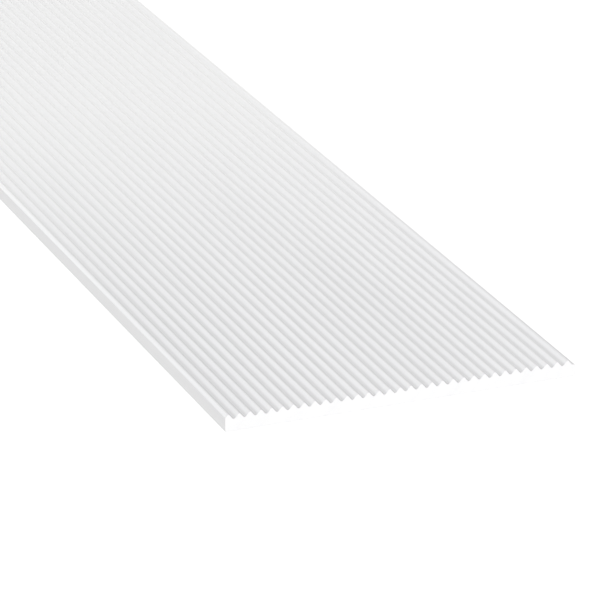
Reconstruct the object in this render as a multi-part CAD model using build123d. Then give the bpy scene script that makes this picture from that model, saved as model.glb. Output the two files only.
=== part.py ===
from build123d import *
from math import asin, atan, cos, hypot, pi, tan
import os

# A springboard for diving: a ribbed aluminium plank on a pair of rear hinges. All sizes are in millimetres.
# +X runs along the board to its tip, +Y across it and +Z up. The origin is the centre of the anchor bolts,
# on the face that the hinge bases stand on, straight below the hinge axis.

# Plank: one solid section, sawn square at both ends
plank_length = 4877.0
plank_width = 500.0
plank_thickness = 24.0  # underside to the crests of the ribs
rear_overhang = 30.0  # hinge axis to the rear end
upper_corner_radius = 3.0
lower_corner_radius = 1.5
first_corner_radius = 1.2  # where the first rib runs into the side face

# Ribs of the tread, laid from the left edge
rib_pitch = 15.1
rib_height = 6.4
rib_radius = 2.2  # crests and valleys alike
first_crest = 4.6  # left edge to the first crest
least_land = 4.5  # flat left at the right edge, at least

# Hinges: a base with two ears, and a leaf under the plank whose barrel turns between them
hinge_inset = 90.0  # edge of the plank to the middle of a hinge
pin_height = 45.0
pin_diameter = 20.0
pin_fit = 0.05  # radial clearance in the bushings
ear_fit = 0.1  # radial clearance in the ears
side_play = 0.4  # bushing flange to ear, each side

base_length = 150.0
base_width = 112.0
base_thickness = 12.0
base_corner_radius = 12.0
anchor_hole_diameter = 14.0
anchor_spacing_x = 110.0
anchor_spacing_y = 76.0
ear_thickness = 14.0
ear_radius = 22.0
ear_foot = 62.0  # length of an ear where it meets its base
boss_radius = 19.0
boss_height = 2.0
casting_fillet = 5.0
casting_edge = 1.2  # broken edges of the castings

leaf_gap = 26.0  # hinge axis to the underside of the leaf
leaf_thickness = 12.0
leaf_width = 100.0
leaf_rear = 25.0  # behind the hinge axis
leaf_front = 210.0  # ahead of the hinge axis
leaf_corner_radius = 14.0
barrel_wall = 8.0
barrel_length = 40.0
web_rear = 17.0
web_front = 44.0
gusset_thickness = 12.0
gusset_end = 22.0  # front of the leaf to the end of its gusset
gusset_root_share = 0.6  # of the barrel's radius, where the gusset starts
casting_overlap = 1.0  # webs run this far into the plate they stand on

bushing_wall = 3.0
bushing_flange_thickness = 3.0
bushing_flange_width = 6.0
bushing_gap = 1.0  # between the two bushings inside a barrel

# Hinge pin, its washers and its split pin
pin_head_diameter = 32.0
pin_head_thickness = 6.0
pin_tail = 6.0  # past the split pin's hole
pin_chamfer = 1.5
pin_washer_diameter = 34.0
pin_washer_thickness = 3.0
pin_washer_clearance = 0.3
split_pin_diameter = 4.6
split_pin_clearance = 0.2
split_pin_eye_radius = 3.4
split_pin_leg = 9.0
split_pin_splay = 3.0  # drop of a leg along its length
split_pin_eye_share = 0.7  # thickness of the eye's wire to the shank's
split_pin_eye_gap = 0.4  # hinge pin to the eye
split_pin_leg_gap = 1.0  # hinge pin to the bend of the legs
split_pin_slit = 0.05  # each leg to the middle of the shank

# Bolts that hold the plank to the leaves
pad_thickness = 6.0
bolt_diameter = 12.0
bolt_clearance = 0.5
bolt_row_first = 55.0  # ahead of the hinge axis
bolt_row_spacing = 115.0
bolt_spacing_y = 60.0
bolt_head_diameter = 21.0
bolt_head_height = 6.6
bolt_socket = 8.0  # across flats
bolt_socket_depth = 4.0
head_below_crest = 0.9
bolt_head_dome = 0.6  # rounding of the head to its height
bolt_chamfer = 1.0
bolt_tail = 3.0  # past its nut
bolt_washer_diameter = 37.0
bolt_washer_thickness = 3.0
sleeve_wall = 1.6
sleeve_clearance = 0.15
sleeve_flange_thickness = 1.5
pocket_clearance = 2.5  # around the washer in its pocket
leaf_washer_diameter = 24.0
leaf_washer_thickness = 2.5
nut_width = 19.0  # across flats
nut_height = 10.0
nut_collar_height = 2.6
nut_collar_diameter = 16.6
nut_chamfer = 1.2
nut_collar_radius = 1.0
thread_clearance = 0.05

# Wear plate under the plank, where it rolls on the fulcrum
fulcrum_centre = 1830.0  # hinge axis to the middle of the fulcrum's travel
wear_plate_length = 900.0
wear_plate_inset = 50.0  # edge of the plank to the edge of the plate
wear_plate_thickness = 4.0
wear_plate_corner_radius = 15.0
bedding_thickness = 2.0
screw_diameter = 6.0
screw_length = 16.0
screw_head_diameter = 12.0
screw_socket = 4.0
screw_socket_depth = 2.2
screw_chamfer = 0.6
screw_hole_clearance = 0.3
screw_sink = 0.4  # head below the face of the plate
screw_edge = 18.0
screw_pitch = 105.0  # along the plate, at most
screw_hole_spare = 1.5  # depth of the tapped hole past the screw

cut_past = 1.0  # every cut runs this far past the face that it leaves

# Heights and places that follow from the sizes above
leaf_bottom = pin_height + leaf_gap
leaf_top = leaf_bottom + leaf_thickness
plank_bottom = leaf_top + pad_thickness
plank_top = plank_bottom + plank_thickness
hinge_y = plank_width / 2 - hinge_inset
head_seat = plank_top - head_below_crest - bolt_head_height
pocket_floor = head_seat - bolt_washer_thickness - sleeve_flange_thickness
nut_top = leaf_bottom - leaf_washer_thickness
nut_bottom = nut_top - nut_height - nut_collar_height
bolt_bottom = nut_bottom - bolt_tail
bushing_radius = pin_diameter / 2 + pin_fit + bushing_wall
barrel_radius = bushing_radius + barrel_wall
ear_inner = barrel_length / 2 + bushing_flange_thickness + side_play
ear_outer = ear_inner + ear_thickness
washer_seat = ear_outer + boss_height
head_face = washer_seat + pin_washer_thickness
split_pin_y = head_face + split_pin_diameter / 2 + split_pin_clearance
bolt_hole_radius = bolt_diameter / 2 + bolt_clearance
sleeve_radius = bolt_hole_radius + sleeve_wall
sleeve_bore_radius = sleeve_radius + sleeve_clearance
wear_plate_width = plank_width - 2 * wear_plate_inset
wear_plate_bottom = plank_bottom - bedding_thickness - wear_plate_thickness


def along_z(radius, low, high, x=0.0, y=0.0):
    return Pos(x, y, (low + high) / 2) * Cylinder(radius, high - low)


def along_y(radius, low, high, x=0.0, z=0.0):
    return Pos(x, (low + high) / 2, z) * Rot(90, 0, 0) * Cylinder(radius, high - low)


def slab(x_low, x_high, y_low, y_high, z_low, z_high, corner_radius):
    block = Pos((x_low + x_high) / 2, (y_low + y_high) / 2, (z_low + z_high) / 2) * Box(
        x_high - x_low, y_high - y_low, z_high - z_low
    )
    return fillet(block.edges().filter_by(Axis.Z), corner_radius)


def crosswise(outline, thickness, y):
    # a plate of this outline, drawn in X and Z, standing across the board's width at y
    return extrude(Plane.XZ.offset(-y) * outline, thickness / 2, both=True)


def ring(outer_radius, inner_radius, low, high, x=0.0, y=0.0):
    return along_z(outer_radius, low, high, x, y) - along_z(inner_radius, low, high, x, y)


def bolt_places(side):
    return [
        (bolt_row_first + row * bolt_row_spacing, side * hinge_y + across * bolt_spacing_y / 2)
        for row in (0, 1)
        for across in (-1, 1)
    ]


def all_bolt_places():
    return bolt_places(-1) + bolt_places(1)


def screw_places():
    run = wear_plate_length - 2 * screw_edge
    gaps = int(run / screw_pitch) + 1
    start = fulcrum_centre - run / 2
    return [
        (start + run * gap / gaps, side * (wear_plate_width / 2 - screw_edge))
        for side in (-1, 1)
        for gap in range(gaps + 1)
    ]


def plank_section():
    # Flanks that meet at sharp points, then every point rounded. The angle is the one that leaves the ribs
    # their height once crests and valleys have their radius.
    half_pitch = rib_pitch / 2
    rise = rib_height - 2 * rib_radius
    flank_angle = atan(rise / half_pitch) + asin(2 * rib_radius / hypot(half_pitch, rise))
    slope = tan(flank_angle)
    rounded_off = rib_radius * (1 / cos(flank_angle) - 1)
    peak = plank_thickness + rounded_off
    trough = plank_thickness - rib_height - rounded_off
    land = plank_thickness - rib_height
    last_flank = (peak - land) / slope
    room = plank_width - first_crest - last_flank - least_land
    rib_count = int(room / rib_pitch) + 1
    left = -plank_width / 2
    right = plank_width / 2
    crests = [left + first_crest + rib * rib_pitch for rib in range(rib_count)]
    points = [(left, 0), (left, peak - first_crest * slope)]
    for crest in crests[:-1]:
        points += [(crest, peak), (crest + half_pitch, trough)]
    points += [(crests[-1], peak), (crests[-1] + last_flank, land), (right, land), (right, 0)]
    section = make_face(Polyline(*points, close=True))
    corners = section.vertices()
    waves = [v for v in corners if left + 0.1 < v.X < right - 0.1]
    section = fillet(waves, rib_radius)
    section = fillet(nearest_corner(section, left, peak - first_crest * slope), first_corner_radius)
    section = fillet(nearest_corner(section, right, land), upper_corner_radius)
    for edge in (left, right):
        section = fillet(nearest_corner(section, edge, 0), lower_corner_radius)
    print("ribs", rib_count, "flank", round(flank_angle * 180 / pi, 1), "degrees")
    return section


def nearest_corner(section, across, height):
    return section.vertices().sort_by_distance((across, height, 0))[0]


def plank():
    blank = extrude(Plane.YZ.offset(-rear_overhang) * plank_section(), plank_length)
    board = Pos(0, 0, plank_bottom) * blank
    pocket_radius = bolt_washer_diameter / 2 + pocket_clearance
    cuts = [along_z(pocket_radius, pocket_floor, plank_top + cut_past, x, y) for x, y in all_bolt_places()]
    below = plank_bottom - cut_past
    cuts += [along_z(sleeve_bore_radius, below, pocket_floor, x, y) for x, y in all_bolt_places()]
    screw_top = wear_plate_bottom + screw_sink + screw_length + screw_hole_spare
    tapped_radius = screw_diameter / 2 + thread_clearance
    cuts += [along_z(tapped_radius, below, screw_top, x, y) for x, y in screw_places()]
    return board - cuts


def hinge_base(side):
    y = side * hinge_y
    half_length = base_length / 2
    half_width = base_width / 2
    base = slab(
        -half_length, half_length, y - half_width, y + half_width, 0, base_thickness, base_corner_radius
    )
    base = chamfer(base.faces().sort_by(Axis.Z)[-1].edges(), casting_edge)
    foot = Line((-ear_foot / 2, base_thickness), (ear_foot / 2, base_thickness))
    outline = make_hull([*(Pos(0, pin_height) * Circle(ear_radius)).edges(), *foot.edges()])
    for ear in (-1, 1):
        base += crosswise(outline, ear_thickness, y + ear * (ear_inner + ear_thickness / 2))
    feet = [
        edge
        for edge in base.edges().filter_by_position(Axis.Z, base_thickness, base_thickness)
        if abs(edge.center().Y - y) < ear_outer + 0.1 and abs(edge.center().X) < ear_foot / 2 + 0.1
    ]
    base = fillet(feet, casting_fillet)
    for ear in (-1, 1):
        faces = sorted((y + ear * (ear_outer - casting_overlap), y + ear * washer_seat))
        base += along_y(boss_radius, *faces, z=pin_height)
    base -= along_y(pin_diameter / 2 + ear_fit, y - base_width, y + base_width, z=pin_height)
    for x in (-anchor_spacing_x / 2, anchor_spacing_x / 2):
        for across in (-anchor_spacing_y / 2, anchor_spacing_y / 2):
            base -= along_z(anchor_hole_diameter / 2, -cut_past, base_thickness + cut_past, x, y + across)
    return base


def hinge_leaf(side):
    y = side * hinge_y
    half_width = leaf_width / 2
    leaf = slab(
        -leaf_rear, leaf_front, y - half_width, y + half_width, leaf_bottom, leaf_top, leaf_corner_radius
    )
    leaf = chamfer(leaf.faces().sort_by(Axis.Z)[0].edges(), casting_edge)
    barrel = Pos(0, pin_height) * Circle(barrel_radius)
    root = leaf_bottom + casting_overlap
    web_line = Line((-web_rear, root), (web_front, root))
    web = make_hull([*barrel.edges(), *web_line.edges()])
    leaf += crosswise(web, barrel_length, y)
    gusset_root = Pos(0, pin_height) * Circle(barrel_radius * gusset_root_share)
    gusset_line = Line((0, root), (leaf_front - gusset_end, root))
    leaf += crosswise(make_hull([*gusset_root.edges(), *gusset_line.edges()]), gusset_thickness, y)
    leaf -= along_y(bushing_radius, y - half_width, y + half_width, z=pin_height)
    for x, bolt_y in bolt_places(side):
        leaf -= along_z(bolt_hole_radius, leaf_bottom - cut_past, leaf_top + cut_past, x, bolt_y)
    return leaf


def bushings(side):
    y = side * hinge_y
    bore_radius = pin_diameter / 2 + pin_fit
    flange_radius = bushing_radius + bushing_flange_width
    pair = []
    for end in (-1, 1):
        inner, seat = bushing_gap / 2, barrel_length / 2
        outer = seat + bushing_flange_thickness
        sleeve = along_y(bushing_radius, *sorted((y + end * inner, y + end * outer)), z=pin_height)
        flange = along_y(flange_radius, *sorted((y + end * seat, y + end * outer)), z=pin_height)
        bore = along_y(bore_radius, y - leaf_width, y + leaf_width, z=pin_height)
        pair.append(sleeve + flange - bore)
    return pair


def hinge_pin(side):
    y = side * hinge_y
    tail = y - side * (split_pin_y + pin_tail)
    head_seat_y = y + side * head_face
    shank = along_y(pin_diameter / 2, *sorted((tail, head_seat_y)), z=pin_height)
    shank = chamfer(shank.edges().sort_by(Axis.Y)[0 if side > 0 else -1], pin_chamfer)
    head_ends = sorted((head_seat_y, head_seat_y + side * pin_head_thickness))
    head = along_y(pin_head_diameter / 2, *head_ends, z=pin_height)
    head = chamfer(head.edges().sort_by(Axis.Y)[-1 if side > 0 else 0], pin_chamfer)
    hole_radius = split_pin_diameter / 2 + split_pin_clearance
    hole_ends = (pin_height - pin_diameter, pin_height + pin_diameter)
    return shank + head - along_z(hole_radius, *hole_ends, y=y - side * split_pin_y)


def pin_washers():
    washers = []
    bore_radius = pin_diameter / 2 + pin_washer_clearance
    for side in (-1, 1):
        for end in (-1, 1):
            y = side * hinge_y
            faces = sorted((y + end * washer_seat, y + end * head_face))
            disc = along_y(pin_washer_diameter / 2, *faces, z=pin_height)
            washers.append(disc - along_y(bore_radius, *faces, z=pin_height))
    return washers


def split_pin(side):
    # round shank, an eye above the hinge pin and two legs bent apart below it
    y = side * (hinge_y - split_pin_y)
    wire = split_pin_diameter / 2
    eye_wire = wire * split_pin_eye_share
    eye_height = pin_height + pin_diameter / 2 + eye_wire + split_pin_eye_radius + split_pin_eye_gap
    leg_height = pin_height - pin_diameter / 2 - split_pin_leg_gap
    shank = along_z(wire, leg_height, eye_height - split_pin_eye_radius, y=y)
    eye = Pos(0, y, eye_height) * Rot(90, 0, 0) * Torus(split_pin_eye_radius, eye_wire)
    pin = shank + eye
    for way in (-1, 1):
        inner = way * wire / 2
        low = leg_height - wire
        end = (inner + way * split_pin_leg, low - split_pin_splay)
        path = FilletPolyline((inner, leg_height + 2), (inner, low), end, radius=wire)
        path = Plane.XZ.offset(-y) * path
        pin += sweep(Plane(path @ 0, z_dir=path % 0) * Circle(wire / 2 - split_pin_slit), path=path)
    return pin


def mounting_pad(side):
    y = side * hinge_y
    half_width = leaf_width / 2
    pad = slab(
        -leaf_rear, leaf_front, y - half_width, y + half_width, leaf_top, plank_bottom, leaf_corner_radius
    )
    return pad - [along_z(sleeve_bore_radius, leaf_top, plank_bottom, *place) for place in bolt_places(side)]


def hexagon(width, low, high, x, y):
    return extrude(Pos(x, y, low) * RegularPolygon(width / 2, 6, major_radius=False), high - low)


def board_bolt(x, y):
    head_top = head_seat + bolt_head_height
    head = along_z(bolt_head_diameter / 2, head_seat, head_top, x, y)
    head = fillet(head.edges().sort_by(Axis.Z)[-1], bolt_head_height * bolt_head_dome)
    shank = along_z(bolt_diameter / 2, bolt_bottom, head_seat, x, y)
    shank = chamfer(shank.edges().sort_by(Axis.Z)[0], bolt_chamfer)
    socket = hexagon(bolt_socket, head_top - bolt_socket_depth, head_top + cut_past, x, y)
    return head + shank - socket


def bolt_sleeve(x, y):
    tube = along_z(sleeve_radius, leaf_top, pocket_floor, x, y)
    flange_top = pocket_floor + sleeve_flange_thickness
    flange = along_z(bolt_washer_diameter / 2, pocket_floor, flange_top, x, y)
    return tube + flange - along_z(bolt_hole_radius, leaf_top, flange_top, x, y)


def lock_nut(x, y):
    corner_radius = nut_width / 3**0.5
    round_blank = along_z(corner_radius, nut_top - nut_height, nut_top, x, y)
    round_blank = chamfer(round_blank.edges().sort_by(Axis.Z)[0], nut_chamfer)
    nut = hexagon(nut_width, nut_top - nut_height, nut_top, x, y) & round_blank
    collar = along_z(nut_collar_diameter / 2, nut_bottom, nut_top, x, y)
    collar = fillet(collar.edges().sort_by(Axis.Z)[0], nut_collar_radius)
    bore_radius = bolt_diameter / 2 + thread_clearance
    bore = along_z(bore_radius, nut_bottom - cut_past, nut_top + cut_past, x, y)
    return nut + collar - bore


def sheet_under_plank(low, high, hole_radius):
    half_length = wear_plate_length / 2
    half_width = wear_plate_width / 2
    sheet = slab(
        fulcrum_centre - half_length,
        fulcrum_centre + half_length,
        -half_width,
        half_width,
        low,
        high,
        wear_plate_corner_radius,
    )
    holes = [along_z(hole_radius, low - cut_past, high + cut_past, x, y) for x, y in screw_places()]
    return sheet - holes


def head_cone(x, y, spread):
    # countersunk head, or its seat, standing point up on the face of the plate; spread widens it all round
    wide = screw_head_diameter / 2 + spread
    narrow = screw_diameter / 2 + spread
    cone = Pos(x, y, wear_plate_bottom + screw_sink + (wide - narrow) / 2) * Cone(wide, narrow, wide - narrow)
    return cone, wide


def wear_plate():
    hole_radius = screw_diameter / 2 + screw_hole_clearance
    plate = sheet_under_plank(wear_plate_bottom, plank_bottom - bedding_thickness, hole_radius)
    for x, y in screw_places():
        cone, wide = head_cone(x, y, screw_hole_clearance)
        seat = along_z(wide, wear_plate_bottom - cut_past, wear_plate_bottom + screw_sink, x, y)
        plate -= [cone, seat]
    return plate


def wear_plate_screw(x, y):
    bottom = wear_plate_bottom + screw_sink
    cone, _ = head_cone(x, y, 0)
    shank = along_z(screw_diameter / 2, bottom, bottom + screw_length, x, y)
    shank = chamfer(shank.edges().sort_by(Axis.Z)[-1], screw_chamfer)
    return cone + shank - hexagon(screw_socket, bottom - cut_past, bottom + screw_socket_depth, x, y)


def model():
    places = all_bolt_places()
    washer_bottom = head_seat - bolt_washer_thickness
    nodes = {
        "plank": [plank()],
        "pin_washers": pin_washers(),
        "split_pins": [split_pin(side) for side in (-1, 1)],
        "board_bolts": [board_bolt(x, y) for x, y in places],
        "bolt_washers": [
            ring(bolt_washer_diameter / 2, bolt_hole_radius, washer_bottom, head_seat, x, y)
            for x, y in places
        ],
        "bolt_sleeves": [bolt_sleeve(x, y) for x, y in places],
        "leaf_washers": [
            ring(leaf_washer_diameter / 2, bolt_hole_radius, nut_top, leaf_bottom, x, y) for x, y in places
        ],
        "lock_nuts": [lock_nut(x, y) for x, y in places],
        "wear_plate": [wear_plate()],
        "wear_plate_bedding": [
            sheet_under_plank(
                plank_bottom - bedding_thickness, plank_bottom, screw_diameter / 2 + screw_hole_clearance
            )
        ],
        "wear_plate_screws": [wear_plate_screw(x, y) for x, y in screw_places()],
    }
    for name, side in (("left", -1), ("right", 1)):
        nodes["hinge_base_" + name] = [hinge_base(side)]
        nodes["hinge_leaf_" + name] = [hinge_leaf(side)]
        nodes["hinge_pin_" + name] = [hinge_pin(side)]
        nodes["bushings_" + name] = bushings(side)
        nodes["mounting_pad_" + name] = [mounting_pad(side)]
    return nodes


os.makedirs("parts", exist_ok=True)
for node, pieces in model().items():
    solids = [solid for piece in pieces for solid in piece.solids()]
    shape = solids[0] if len(solids) == 1 else Compound(children=solids)
    export_step(shape, "parts/" + node + ".step")
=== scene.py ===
from math import asin, atan, cos, hypot, pi, radians, sin, sqrt, tan

import bmesh
import bpy
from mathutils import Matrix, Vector


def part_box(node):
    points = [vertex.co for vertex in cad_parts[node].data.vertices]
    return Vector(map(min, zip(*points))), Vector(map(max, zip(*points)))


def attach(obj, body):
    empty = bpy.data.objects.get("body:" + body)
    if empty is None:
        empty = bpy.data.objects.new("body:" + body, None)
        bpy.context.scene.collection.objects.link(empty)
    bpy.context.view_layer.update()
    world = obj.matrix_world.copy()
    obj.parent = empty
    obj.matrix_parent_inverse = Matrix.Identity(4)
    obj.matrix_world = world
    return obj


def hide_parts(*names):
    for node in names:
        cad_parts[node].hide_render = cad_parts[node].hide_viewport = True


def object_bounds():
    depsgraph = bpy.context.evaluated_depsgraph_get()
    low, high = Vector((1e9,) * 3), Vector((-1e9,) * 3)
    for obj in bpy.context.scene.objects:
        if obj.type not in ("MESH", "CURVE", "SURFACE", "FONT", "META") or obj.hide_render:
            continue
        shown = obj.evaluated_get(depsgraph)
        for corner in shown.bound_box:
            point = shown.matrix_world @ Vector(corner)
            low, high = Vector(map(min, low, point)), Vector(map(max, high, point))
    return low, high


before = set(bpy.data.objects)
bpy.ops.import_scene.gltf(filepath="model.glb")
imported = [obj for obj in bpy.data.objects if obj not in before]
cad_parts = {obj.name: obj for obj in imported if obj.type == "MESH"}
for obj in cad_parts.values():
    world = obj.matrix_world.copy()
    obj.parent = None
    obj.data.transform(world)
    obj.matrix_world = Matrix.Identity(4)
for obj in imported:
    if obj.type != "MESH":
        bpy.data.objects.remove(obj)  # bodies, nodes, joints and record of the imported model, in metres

cadLow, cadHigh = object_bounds()
mm = 0.001
boardBody = "board"
baseBody = "hinge_bases"
print("frame loaded,", len(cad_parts), "nodes")


def toLinear(hexColour):
    shares = [int(hexColour[i:i + 2], 16) / 255 for i in (1, 3, 5)]
    return [s / 12.92 if s <= 0.04045 else ((s + 0.055) / 1.055) ** 2.4 for s in shares] + [1.0]


def feed(tree, value, socket):
    # a socket takes a number or colour, another socket, or the first live result of a node
    if isinstance(value, bpy.types.Node):
        value = next(s for s in value.outputs if s.enabled)
    if isinstance(value, bpy.types.NodeSocket):
        tree.links.new(value, socket)
    else:
        socket.default_value = value


def addNode(tree, kind, inputs=None, **settings):
    # one node with its settings and whatever feeds its inputs, by name or by number
    node = tree.nodes.new(kind)
    for name, value in settings.items():
        setattr(node, name, value)
    for label, value in (inputs or {}).items():
        named = [s for s in node.inputs if s.enabled and s.name == label]
        feed(tree, value, named[0] if named else node.inputs[label])
    return node


# Materials. Every pattern reads Object coordinates, and its sizes are real millimetres.

driftRange = (0.35, 0.65)  # the part of a noise that a slow drift from one tone to the other uses


def startSurface(name, look, **uniform):
    # What every finish here shares: tone and roughness that drift in patches, and a fine grain that is
    # felt more than seen. Returns the material, its tree, its shader, the place and the three patterns.
    material = bpy.data.materials.new(name)
    material.use_nodes = True
    tree = material.node_tree
    shader = tree.nodes["Principled BSDF"]
    for label, value in uniform.items():
        shader.inputs[label.replace("_", " ")].default_value = value
    place = addNode(tree, "ShaderNodeTexCoord").outputs["Object"]
    cells = {"Vector": place, "Scale": [1 / (size * mm) for size in look["grain"]]}
    cells = addNode(tree, "ShaderNodeMapping", cells)
    grain = addNode(tree, "ShaderNodeTexNoise", {"Vector": cells, "Scale": 1.0, "Detail": 3.0})
    cells = {"Vector": place, "Scale": [1 / (size * mm) for size in look["patch"]]}
    cells = addNode(tree, "ShaderNodeMapping", cells)
    patches = addNode(tree, "ShaderNodeTexNoise", {"Vector": cells, "Scale": 1.0, "Detail": 4.0})
    least, most = driftRange
    drift = addNode(tree, "ShaderNodeMapRange", {"Value": patches, "From Min": least, "From Max": most})
    tones = {"Factor": drift, "A": toLinear(look["colour"]), "B": toLinear(look["dullColour"])}
    tone = addNode(tree, "ShaderNodeMix", tones, data_type="RGBA")
    smooth, rough = look["roughness"]
    roughness = addNode(tree, "ShaderNodeMapRange", {"Value": drift, "To Min": smooth, "To Max": rough})
    depth = {"Height": grain, "Distance": look["grainDepth"] * mm, "Strength": look["grainStrength"]}
    bump = addNode(tree, "ShaderNodeBump", depth)
    feed(tree, tone, shader.inputs["Base Color"])
    feed(tree, roughness, shader.inputs["Roughness"])
    feed(tree, bump, shader.inputs["Normal"])
    return material, tree, shader, place, (grain, tone, bump)


treadFinish = {
    "colour": "#F7F7F8",
    "dullColour": "#F5F5F6",
    "roughness": (0.51, 0.54),
    "grain": (700.0, 1.6, 1.6),
    "grainDepth": 0.05,
    "grainStrength": 0.2,
    "patch": (900.0, 160.0, 160.0),
    # painted shade: the grey painted into the valleys near the tip, how high up the ribs it goes, how far
    # from the tip it reaches, and how much of it is on the crests
    "valleyShadeColour": "#E6E6E7",
    "valleyShadeHeights": (0.14, 0.64),
    "valleyShadeReach": (1.3, 0.05),
    "valleyShadeOnCrest": 0.15,
    # painted light: the whiter tone painted on the tread away from the tip, and its lower metalness
    "farLightColour": "#FCFCFC",
    "farMetal": 0.4,
}


def etchedTreadAluminium(valleyHeight, crestHeight, tip):
    # 6000-series aluminium, extruded and caustic etched: a very pale, silky metal with the die's hairline
    # streaks. In the last metre to the tip, the valleys and lower flanks of the tread are painted grey as
    # painted shade. The rest is painted whiter and only partly metallic, as painted light that evens out
    # its ribs.
    look = treadFinish
    material, tree, shader, place, (_, tone, _) = startSurface("etchedTreadAluminium", look, Metallic=1.0)
    parts = addNode(tree, "ShaderNodeSeparateXYZ", {"Vector": place})
    # painted shade: grey painted in the valleys, fading out up the flanks, only near the tip
    deep, shallow = [valleyHeight + share * (crestHeight - valleyHeight) for share in look["valleyShadeHeights"]]
    valley = {"Value": parts.outputs["Z"], "From Min": deep, "From Max": shallow}
    valley.update({"To Min": 1.0, "To Max": look["valleyShadeOnCrest"]})
    valley = addNode(tree, "ShaderNodeMapRange", valley, interpolation_type="SMOOTHSTEP")
    shadeStart, shadeFull = look["valleyShadeReach"]
    tipShare = {"Value": parts.outputs["X"], "From Min": tip - shadeStart, "From Max": tip - shadeFull}
    tipShare = addNode(tree, "ShaderNodeMapRange", tipShare, interpolation_type="SMOOTHSTEP")
    valleyShade = addNode(tree, "ShaderNodeMath", {0: valley, 1: tipShare}, operation="MULTIPLY")
    # painted light: away from the tip the tread is painted whiter
    farLightened = {"Factor": tipShare, "A": toLinear(look["farLightColour"]), "B": tone.outputs[2]}
    farLightened = addNode(tree, "ShaderNodeMix", farLightened, data_type="RGBA")
    # painted shade: the valleys near the tip painted grey
    tones = {"Factor": valleyShade, "A": farLightened.outputs[2], "B": toLinear(look["valleyShadeColour"])}
    feed(tree, addNode(tree, "ShaderNodeMix", tones, data_type="RGBA"), shader.inputs["Base Color"])
    metal = {"Value": tipShare, "To Min": look["farMetal"], "To Max": 1.0}
    feed(tree, addNode(tree, "ShaderNodeMapRange", metal), shader.inputs["Metallic"])
    return material


shadedMillFinish = {
    # painted shade: a shade greyer than the tread, for the sides, underside, pockets and holes
    "colour": "#DADADA",
    "dullColour": "#D5D5D6",
    "roughness": (0.36, 0.44),
    "grain": (900.0, 0.9, 0.9),
    "grainDepth": 0.05,
    "grainStrength": 0.3,
    "patch": (1200.0, 60.0, 60.0),
}


def millPlankAluminium():
    # the same extrusion as it came from the die, with longer and crisper streaks, and painted a shade
    # greyer as painted shade
    return startSurface("millPlankAluminium", shadedMillFinish, Metallic=1.0)[0]


sawFinish = {
    "colour": "#F6F6F6",
    "dullColour": "#F5F5F5",
    "roughness": (0.36, 0.38),
    "grain": (1.2, 1.2, 1.2),
    "grainDepth": 0.02,
    "grainStrength": 0.1,
    "patch": (60.0, 60.0, 60.0),
    "markColour": "#F2F2F3",
    "markShare": (0.2, 0.42),
    "toothDepth": 0.03,
    "toothStrength": 0.15,
    "bladeRadius": 175.0,
    "bladeHeight": 118.0,
    "toothMark": 1.5,
    "feedBand": 25.0,
}


def sawnPlankAluminium(underside):
    # The same metal freshly cut by a circular saw: whiter, with the teeth's shallow arcs close together and
    # a faint wider band wherever the feed paused. Real tooth marks are finer, and are drawn coarser here.
    look = sawFinish
    material, tree, shader, place, (_, tone, bump) = startSurface("sawnPlankAluminium", look, Metallic=1.0)
    parts = addNode(tree, "ShaderNodeSeparateXYZ", {"Vector": place})
    centre = underside + look["bladeHeight"] * mm
    drop = addNode(tree, "ShaderNodeMath", {0: parts.outputs["Z"], 1: centre}, operation="SUBTRACT")
    square = addNode(tree, "ShaderNodeMath", {0: drop, 1: drop}, operation="MULTIPLY")
    chord = {0: (look["bladeRadius"] * mm) ** 2, 1: square}
    chord = addNode(tree, "ShaderNodeMath", chord, operation="SUBTRACT")
    bow = addNode(tree, "ShaderNodeMath", {0: chord}, operation="SQRT")
    feedLine = addNode(tree, "ShaderNodeMath", {0: parts.outputs["Y"], 1: bow}, operation="SUBTRACT")
    along = addNode(tree, "ShaderNodeCombineXYZ", {"X": feedLine})
    teeth = {"Vector": along, "Scale": 1 / (look["toothMark"] * mm), "Detail": 2.0}
    teeth = addNode(tree, "ShaderNodeTexNoise", teeth)
    bands = {"Vector": along, "Scale": 1 / (look["feedBand"] * mm), "Detail": 1.0}
    bands = addNode(tree, "ShaderNodeTexNoise", bands)
    marks = addNode(tree, "ShaderNodeMath", {0: teeth, 1: bands}, operation="MULTIPLY")
    least, most = look["markShare"]
    share = addNode(tree, "ShaderNodeMapRange", {"Value": marks, "From Min": least, "From Max": most})
    tones = {"Factor": share, "A": tone.outputs[2], "B": toLinear(look["markColour"])}
    feed(tree, addNode(tree, "ShaderNodeMix", tones, data_type="RGBA"), shader.inputs["Base Color"])
    scored = {"Height": teeth, "Distance": look["toothDepth"] * mm, "Normal": bump}
    scored["Strength"] = look["toothStrength"]
    feed(tree, addNode(tree, "ShaderNodeBump", scored), shader.inputs["Normal"])
    return material


castFinish = {
    "colour": "#B0B2B4",
    "dullColour": "#A4A6A8",
    "roughness": (0.48, 0.62),
    "grain": (1.4, 1.4, 1.4),
    "grainDepth": 0.15,
    "grainStrength": 0.5,
    "patch": (45.0, 45.0, 45.0),
    # painted shade: the darker colour painted into the sunk pits
    "pitShadeColour": "#94969A",
    "pitSize": 4.0,
    "pitShare": (0.28, 0.40),
    "pitDepth": 0.4,
    "pitStrength": 0.35,
}


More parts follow.
